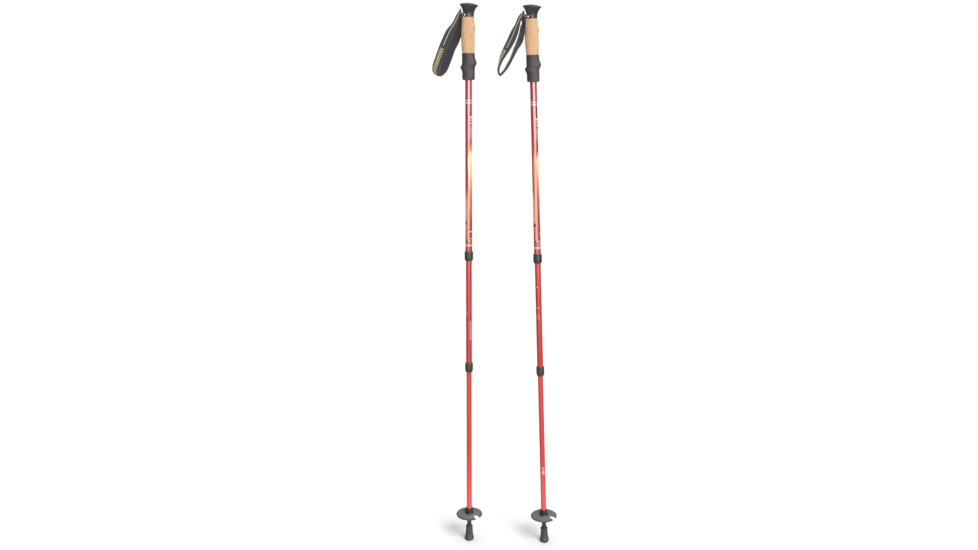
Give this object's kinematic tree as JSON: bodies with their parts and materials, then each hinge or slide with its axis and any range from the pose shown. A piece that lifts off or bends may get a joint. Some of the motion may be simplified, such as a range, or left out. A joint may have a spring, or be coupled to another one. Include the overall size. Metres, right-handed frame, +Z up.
{
  "type": "trekking poles",
  "caption": "Telescoping twist-lock trekking poles with cork grips, rubber lower grips, padded wrist straps, notched baskets and rubber tips.",
  "frame": {"origin": "centre of the left pole's rubber sole, on the ground", "axes": "+Z up the left pole's shaft, +X towards the right pole and the finger side of both grips, straps at the back (-X)"},
  "size_m": [0.2955, 0.0701, 1.2687],
  "materials": {
    "cap_plastic": "glossy moulded black",
    "cork": "sanded natural cork",
    "grip_rubber": "matte moulded rubber",
    "core_plastic": "moulded",
    "steel": "turned",
    "webbing": "woven webbing with a woven stripe",
    "padding": "brushed lining",
    "upper_tube_paint": "glossy dark red lacquer with printed bands and flames",
    "middle_tube_paint": "glossy red lacquer with length marks",
    "lower_tube_paint": "glossy bright red lacquer",
    "collar_plastic": "fine moulded texture",
    "lock_plastic": "moulded",
    "expander_plastic": "natural moulded",
    "brass": "turned",
    "ferrule_plastic": "moulded",
    "carbide": "ground",
    "basket_plastic": "satin moulded with fine rings",
    "boot_rubber": "moulded with fine ribs"
  },
  "bodies": {
    "left_upper": {"left_grip_cap": "cap_plastic", "left_cork_grip": "cork", "left_lower_grip": "grip_rubber", "left_grip_core": "core_plastic", "left_strap_pin": "steel", "left_strap_end": "webbing", "left_upper_tube": "upper_tube_paint", "left_upper_collar": "collar_plastic"},
    "left_strap": {"left_wrist_strap": "webbing", "left_strap_padding": "padding"},
    "left_upper_expander": {"left_upper_lock_expander": "expander_plastic"},
    "left_upper_wedge": {"left_upper_lock_wedge_nut": "brass"},
    "left_middle": {"left_middle_tube": "middle_tube_paint", "left_middle_collar": "collar_plastic", "left_upper_lock_plug": "lock_plastic", "left_upper_lock_screw": "steel", "left_upper_lock_stop_nut": "steel"},
    "left_lower_expander": {"left_lower_lock_expander": "expander_plastic"},
    "left_lower_wedge": {"left_lower_lock_wedge_nut": "brass"},
    "left_lower": {"left_lower_tube": "lower_tube_paint", "left_lower_lock_plug": "lock_plastic", "left_lower_lock_screw": "steel", "left_lower_lock_stop_nut": "steel", "left_tip_ferrule": "ferrule_plastic", "left_carbide_tip": "carbide"},
    "left_basket": {"left_basket": "basket_plastic"},
    "left_rubber_tip": {"left_rubber_tip": "boot_rubber", "left_tip_washer": "steel"},
    "right_upper": {"right_grip_cap": "cap_plastic", "right_cork_grip": "cork", "right_lower_grip": "grip_rubber", "right_grip_core": "core_plastic", "right_strap_pin": "steel", "right_strap_end": "webbing", "right_upper_tube": "upper_tube_paint", "right_upper_collar": "collar_plastic"},
    "right_strap": {"right_wrist_strap": "webbing", "right_strap_padding": "padding"},
    "right_upper_expander": {"right_upper_lock_expander": "expander_plastic"},
    "right_upper_wedge": {"right_upper_lock_wedge_nut": "brass"},
    "right_middle": {"right_middle_tube": "middle_tube_paint", "right_middle_collar": "collar_plastic", "right_upper_lock_plug": "lock_plastic", "right_upper_lock_screw": "steel", "right_upper_lock_stop_nut": "steel"},
    "right_lower_expander": {"right_lower_lock_expander": "expander_plastic"},
    "right_lower_wedge": {"right_lower_lock_wedge_nut": "brass"},
    "right_lower": {"right_lower_tube": "lower_tube_paint", "right_lower_lock_plug": "lock_plastic", "right_lower_lock_screw": "steel", "right_lower_lock_stop_nut": "steel", "right_tip_ferrule": "ferrule_plastic", "right_carbide_tip": "carbide"},
    "right_basket": {"right_basket": "basket_plastic"},
    "right_rubber_tip": {"right_rubber_tip": "boot_rubber", "right_tip_washer": "steel"}
  },
  "joints": [
    {"name": "left_strap_swing", "type": "hinge", "parent": "left_upper", "child": "left_strap", "pos_m": [-0.02, 0, 1.2475], "axis": [0, 1, 0], "range_deg": [0, 90]},
    {"name": "left_middle_slide", "type": "slide", "parent": "left_upper", "child": "left_upper_expander", "axis": [0, 0, 1], "range_m": [-0.055, 0.23]},
    {"name": "left_middle_twist", "type": "hinge", "parent": "left_upper_expander", "child": "left_middle", "pos_m": [0, 0, 0.937], "axis": [0, 0, 1], "range_deg": [-720, 0]},
    {"name": "left_upper_wedge_travel", "type": "slide", "parent": "left_upper_expander", "child": "left_upper_wedge", "axis": [0, 0, 1], "range_m": [0, 0.002]},
    {"name": "left_lower_slide", "type": "slide", "parent": "left_middle", "child": "left_lower_expander", "axis": [0, 0, 1], "range_m": [-0.03, 0.308]},
    {"name": "left_lower_twist", "type": "hinge", "parent": "left_lower_expander", "child": "left_lower", "pos_m": [0, 0, 0.55], "axis": [0, 0, 1], "range_deg": [-720, 0]},
    {"name": "left_lower_wedge_travel", "type": "slide", "parent": "left_lower_expander", "child": "left_lower_wedge", "axis": [0, 0, 1], "range_m": [0, 0.002]},
    {"name": "left_basket_turn", "type": "hinge", "parent": "left_lower", "child": "left_basket", "pos_m": [0, 0, 0.0607], "axis": [0, 0, 1], "continuous": true},
    {"name": "left_rubber_tip_pull", "type": "slide", "parent": "left_lower", "child": "left_rubber_tip", "axis": [0, 0, -1], "range_m": [0, 0.045]},
    {"name": "right_pole_apart", "type": "slide", "parent": "left_upper", "child": "right_upper", "axis": [1, 0, 0], "range_m": [0, 0.25]},
    {"name": "right_strap_swing", "type": "hinge", "parent": "right_upper", "child": "right_strap", "pos_m": [0.12923, -0.0095, 1.24292], "axis": [0.9998, 0, 0.0223], "range_deg": [-75, 75]},
    {"name": "right_middle_slide", "type": "slide", "parent": "right_upper", "child": "right_upper_expander", "axis": [-0.0223, 0, 0.9998], "range_m": [-0.053, 0.232]},
    {"name": "right_middle_twist", "type": "hinge", "parent": "right_upper_expander", "child": "right_middle", "pos_m": [0.1562, -0.0095, 0.93095], "axis": [-0.0223, 0, 0.9998], "range_deg": [-720, 0]},
    {"name": "right_upper_wedge_travel", "type": "slide", "parent": "right_upper_expander", "child": "right_upper_wedge", "axis": [-0.0223, 0, 0.9998], "range_m": [0, 0.002]},
    {"name": "right_lower_slide", "type": "slide", "parent": "right_middle", "child": "right_lower_expander", "axis": [-0.0223, 0, 0.9998], "range_m": [-0.036, 0.302]},
    {"name": "right_lower_twist", "type": "hinge", "parent": "right_lower_expander", "child": "right_lower", "pos_m": [0.16471, -0.0095, 0.55004], "axis": [-0.0223, 0, 0.9998], "range_deg": [-720, 0]},
    {"name": "right_lower_wedge_travel", "type": "slide", "parent": "right_lower_expander", "child": "right_lower_wedge", "axis": [-0.0223, 0, 0.9998], "range_m": [0, 0.002]},
    {"name": "right_basket_turn", "type": "hinge", "parent": "right_lower", "child": "right_basket", "pos_m": [0.17564, -0.0095, 0.06086], "axis": [-0.0223, 0, 0.9998], "continuous": true},
    {"name": "right_rubber_tip_pull", "type": "slide", "parent": "right_lower", "child": "right_rubber_tip", "axis": [0.0223, 0, -0.9998], "range_m": [0, 0.045]}
  ],
  "couplings": [
    {"joint": "left_upper_wedge_travel", "follows": "left_middle_twist", "m_per_rad": -0.00015915},
    {"joint": "left_lower_wedge_travel", "follows": "left_lower_twist", "m_per_rad": -0.00015915},
    {"joint": "right_upper_wedge_travel", "follows": "right_middle_twist", "m_per_rad": -0.00015915},
    {"joint": "right_lower_wedge_travel", "follows": "right_lower_twist", "m_per_rad": -0.00015915}
  ]
}
